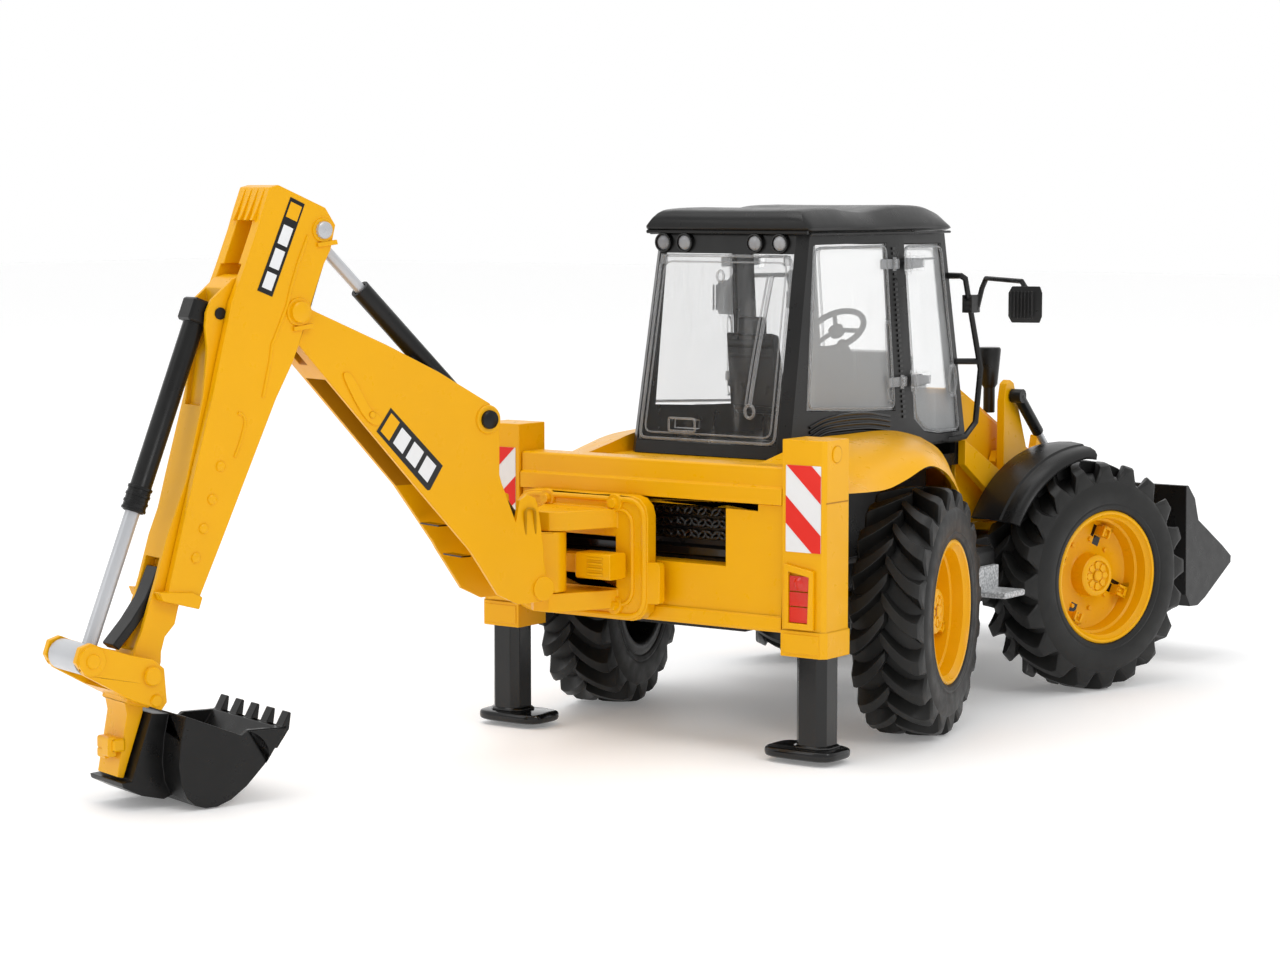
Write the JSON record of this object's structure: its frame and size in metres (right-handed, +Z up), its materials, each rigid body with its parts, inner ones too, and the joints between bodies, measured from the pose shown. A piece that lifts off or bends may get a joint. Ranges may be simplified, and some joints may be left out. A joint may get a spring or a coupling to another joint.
{
  "type": "toy backhoe loader",
  "caption": "Toy backhoe loader with four-wheel steering, a tipping front bucket, stabiliser legs and a side-shifting, swinging rear digging arm.",
  "frame": {"origin": "centre of the bounding box's footprint, on the ground the tyres stand on", "axes": "+Z up, +X the vehicle's left side, -Y the front with the loader bucket, +Y the rear with the digging arm"},
  "size_m": [0.1882, 0.541, 0.2019],
  "materials": {
    "yellow_plastic": "satin moulded plastic, warm yellow",
    "black_plastic": "satin moulded plastic, black",
    "tyre": "matt moulded rubber-like plastic",
    "clear_plastic": "clear moulded polycarbonate",
    "silver_plastic": "silver-grey moulded plastic",
    "red_plastic": "red translucent lens",
    "black_rubber": "soft black band"
  },
  "bodies": {
    "base": {"chassis": "black_plastic", "body_shell": "yellow_plastic", "rear_frame": "yellow_plastic", "post_left": "yellow_plastic", "post_right": "yellow_plastic", "tail_light_left": "red_plastic", "tail_light_right": "red_plastic", "cab_frame": "black_plastic", "cab_roof": "black_plastic", "windscreen": "clear_plastic", "side_window_left": "clear_plastic", "side_window_right": "clear_plastic", "dashboard": "black_plastic", "step_left": "silver_plastic", "step_right": "silver_plastic", "loader_frame": "yellow_plastic"},
    "bonnet": {"bonnet": "yellow_plastic", "intake_stack": "black_plastic"},
    "leg_left": {"leg_left": "black_plastic"},
    "leg_right": {"leg_right": "black_plastic"},
    "door_left": {"door_left": "clear_plastic"},
    "door_right": {"door_right": "clear_plastic"},
    "rear_window": {"rear_window": "clear_plastic"},
    "steering_wheel": {"steering_wheel": "black_plastic"},
    "seat": {"seat": "black_plastic"},
    "mirror_left": {"mirror_left": "black_plastic"},
    "mirror_right": {"mirror_right": "black_plastic"},
    "loader_arms": {"loader_arms": "yellow_plastic"},
    "loader_bucket": {"loader_bucket": "black_plastic"},
    "lift_barrels": {"lift_ram_barrel_left": "black_plastic", "lift_ram_barrel_right": "black_plastic"},
    "lift_rods": {"lift_ram_rod_left": "silver_plastic", "lift_ram_rod_right": "silver_plastic"},
    "knuckle_front_left": {"knuckle_front_left": "black_plastic"},
    "wheel_front_left": {"rim_front_left": "yellow_plastic", "tyre_front_left": "tyre"},
    "knuckle_front_right": {"knuckle_front_right": "black_plastic"},
    "wheel_front_right": {"rim_front_right": "yellow_plastic", "tyre_front_right": "tyre"},
    "knuckle_rear_left": {"knuckle_rear_left": "black_plastic"},
    "wheel_rear_left": {"rim_rear_left": "yellow_plastic", "tyre_rear_left": "tyre"},
    "knuckle_rear_right": {"knuckle_rear_right": "black_plastic"},
    "wheel_rear_right": {"rim_rear_right": "yellow_plastic", "tyre_rear_right": "tyre"},
    "carriage": {"carriage": "yellow_plastic"},
    "king_post": {"king_post": "yellow_plastic"},
    "boom": {"boom": "yellow_plastic"},
    "boom_barrel": {"boom_ram_barrel": "black_plastic"},
    "boom_rod": {"boom_ram_rod": "silver_plastic"},
    "dipper": {"dipper_outer": "yellow_plastic"},
    "dipper_barrel": {"dipper_ram_barrel": "black_plastic"},
    "dipper_rod": {"dipper_ram_rod": "silver_plastic"},
    "inner_dipper": {"dipper_inner": "yellow_plastic", "hose": "black_rubber"},
    "bucket_barrel": {"bucket_ram_barrel": "black_plastic"},
    "bucket_rod": {"bucket_ram_rod": "silver_plastic"},
    "bucket_hitch": {"rocker": "yellow_plastic", "backhoe_bucket": "black_plastic"}
  },
  "joints": [
    {"name": "steer_front_left", "type": "hinge", "parent": "base", "child": "knuckle_front_left", "pos_m": [0.05443, -0.15524, 0.04594], "axis": [0, 0, 1], "range_deg": [-2, 37]},
    {"name": "spin_front_left", "type": "hinge", "parent": "knuckle_front_left", "child": "wheel_front_left", "pos_m": [0.06681, -0.1592, 0.04594], "axis": [0.9523, -0.305, 0], "continuous": true},
    {"name": "steer_front_right", "type": "hinge", "parent": "base", "child": "knuckle_front_right", "pos_m": [-0.05577, -0.15524, 0.04594], "axis": [0, 0, 1], "range_deg": [-2.2, 37.2]},
    {"name": "spin_front_right", "type": "hinge", "parent": "knuckle_front_right", "child": "wheel_front_right", "pos_m": [-0.06815, -0.15127, 0.04594], "axis": [0.9523, -0.305, 0], "continuous": true},
    {"name": "steer_rear_left", "type": "hinge", "parent": "base", "child": "knuckle_rear_left", "pos_m": [0.05443, -0.01584, 0.04594], "axis": [0, 0, 1], "range_deg": [-31.51, 1.99]},
    {"name": "spin_rear_left", "type": "hinge", "parent": "knuckle_rear_left", "child": "wheel_rear_left", "pos_m": [0.06698, -0.01248, 0.04594], "axis": [0.966, 0.2585, 0], "continuous": true},
    {"name": "steer_rear_right", "type": "hinge", "parent": "base", "child": "knuckle_rear_right", "pos_m": [-0.05577, -0.01584, 0.04594], "axis": [0, 0, 1], "range_deg": [-31.51, 1.99]},
    {"name": "spin_rear_right", "type": "hinge", "parent": "knuckle_rear_right", "child": "wheel_rear_right", "pos_m": [-0.06833, -0.0192, 0.04594], "axis": [0.966, 0.2585, 0], "continuous": true},
    {"name": "leg_slide_left", "type": "slide", "parent": "base", "child": "leg_left", "axis": [0, 0, 1], "range_m": [-0.0016, 0.031]},
    {"name": "door_hinge_left", "type": "hinge", "parent": "base", "child": "door_left", "pos_m": [0.03753, -0.06284, 0.14994], "axis": [-0.0133, 0.1017, 0.9947], "range_deg": [0, 70]},
    {"name": "mirror_axis_left", "type": "hinge", "parent": "base", "child": "mirror_left", "pos_m": [0.04053, -0.10284, 0.15494], "axis": [0, 0.335, 0.9422], "range_deg": [-35, 30]},
    {"name": "leg_slide_right", "type": "slide", "parent": "base", "child": "leg_right", "axis": [0, 0, 1], "range_m": [-0.0016, 0.031]},
    {"name": "door_hinge_right", "type": "hinge", "parent": "base", "child": "door_right", "pos_m": [-0.03887, -0.06284, 0.14994], "axis": [-0.0133, -0.1017, -0.9947], "range_deg": [0, 70]},
    {"name": "mirror_axis_right", "type": "hinge", "parent": "base", "child": "mirror_right", "pos_m": [-0.04187, -0.10284, 0.15494], "axis": [0, -0.335, -0.9422], "range_deg": [-35, 30]},
    {"name": "bonnet_hinge", "type": "hinge", "parent": "base", "child": "bonnet", "pos_m": [-0.00067, -0.11134, 0.12234], "axis": [-1, 0, 0], "range_deg": [0, 45]},
    {"name": "rear_window_hinge", "type": "hinge", "parent": "base", "child": "rear_window", "pos_m": [-0.00067, 0.00786, 0.17664], "axis": [1, 0, 0], "range_deg": [0, 70]},
    {"name": "steering_axis", "type": "hinge", "parent": "base", "child": "steering_wheel", "pos_m": [-0.00267, -0.06654, 0.14594], "axis": [0, 0.6222, 0.7828], "continuous": true},
    {"name": "seat_axis", "type": "hinge", "parent": "base", "child": "seat", "pos_m": [-0.00067, -0.02754, 0.11194], "axis": [0, 0, 1], "range_deg": [-40, 40]},
    {"name": "loader_lift", "type": "hinge", "parent": "base", "child": "loader_arms", "pos_m": [-0.00067, -0.14154, 0.08994], "axis": [-1, 0, 0], "range_deg": [-3, 28.5]},
    {"name": "loader_tilt", "type": "hinge", "parent": "loader_arms", "child": "loader_bucket", "pos_m": [-0.00067, -0.21954, 0.03994], "axis": [-1, 0, 0], "range_deg": [-55, 0]},
    {"name": "lift_ram_pivot", "type": "hinge", "parent": "base", "child": "lift_barrels", "pos_m": [-0.00067, -0.14304, 0.11744], "axis": [-1, 0, 0], "range_deg": [-2, 14.9]},
    {"name": "lift_ram_slide", "type": "slide", "parent": "lift_barrels", "child": "lift_rods", "axis": [0, -0.7341, -0.6791], "range_m": [-0.0108, 0.0014]},
    {"name": "side_shift", "type": "slide", "parent": "base", "child": "carriage", "axis": [1, 0, 0], "range_m": [-0.052, 0.002]},
    {"name": "boom_swing", "type": "hinge", "parent": "carriage", "child": "king_post", "pos_m": [0.02463, 0.08246, -0.00006], "axis": [0, 0, 1], "range_deg": [-33, 67]},
    {"name": "boom_lift", "type": "hinge", "parent": "king_post", "child": "boom", "pos_m": [0.02799, 0.09346, 0.05994], "axis": [0.9563, -0.2924, 0], "range_deg": [-20, 13]},
    {"name": "boom_ram_pivot", "type": "hinge", "parent": "king_post", "child": "boom_barrel", "pos_m": [0.02755, 0.09202, 0.07644], "axis": [0.9563, -0.2924, 0], "range_deg": [-24.6, 16]},
    {"name": "boom_ram_slide", "type": "slide", "parent": "boom_barrel", "child": "boom_rod", "axis": [0.1853, 0.6062, 0.7734], "range_m": [-0.0028, 0.0042]},
    {"name": "dipper_fold", "type": "hinge", "parent": "boom", "child": "dipper", "pos_m": [0.05635, 0.18622, 0.15994], "axis": [0.9563, -0.2924, 0], "range_deg": [-17, 30]},
    {"name": "dipper_ram_pivot", "type": "hinge", "parent": "boom", "child": "dipper_barrel", "pos_m": [0.03386, 0.11268, 0.12054], "axis": [0.9563, -0.2924, 0], "range_deg": [-2.4, 4]},
    {"name": "dipper_ram_slide", "type": "slide", "parent": "dipper_barrel", "child": "dipper_rod", "axis": [0.2083, 0.6813, 0.7018], "range_m": [-0.0138, 0.0079]},
    {"name": "dipper_slide", "type": "slide", "parent": "dipper", "child": "inner_dipper", "axis": [0.0903, 0.2955, -0.9511], "range_m": [0, 0.028]},
    {"name": "bucket_tilt", "type": "hinge", "parent": "inner_dipper", "child": "bucket_hitch", "pos_m": [0.07316, 0.24121, 0.04354], "axis": [0.9563, -0.2924, 0], "range_deg": [-8, 50]},
    {"name": "bucket_ram_pivot", "type": "hinge", "parent": "inner_dipper", "child": "bucket_barrel", "pos_m": [0.06573, 0.21692, 0.16124], "axis": [0.9563, -0.2924, 0], "range_deg": [-0.3, 1]},
    {"name": "bucket_ram_slide", "type": "slide", "parent": "bucket_barrel", "child": "bucket_rod", "axis": [0.1052, 0.3443, -0.933], "range_m": [-0.0198, 0.0033]}
  ],
  "couplings": [
    {"joint": "steer_front_right", "follows": "steer_front_left", "ratio": 1},
    {"joint": "steer_rear_left", "follows": "steer_front_left", "ratio": -0.8435},
    {"joint": "steer_rear_right", "follows": "steer_front_left", "ratio": -0.8435},
    {"joint": "lift_ram_pivot", "follows": "loader_lift", "ratio": 0.51},
    {"joint": "lift_ram_slide", "follows": "loader_lift", "m_per_rad": -0.0212},
    {"joint": "boom_ram_pivot", "follows": "boom_lift", "ratio": 1.22},
    {"joint": "boom_ram_slide", "follows": "boom_lift", "m_per_rad": -0.0116},
    {"joint": "dipper_ram_pivot", "follows": "dipper_fold", "ratio": 0.129},
    {"joint": "dipper_ram_slide", "follows": "dipper_fold", "m_per_rad": -0.0259},
    {"joint": "bucket_ram_pivot", "follows": "bucket_tilt", "ratio": 0.017},
    {"joint": "bucket_ram_slide", "follows": "bucket_tilt", "m_per_rad": -0.0223}
  ]
}
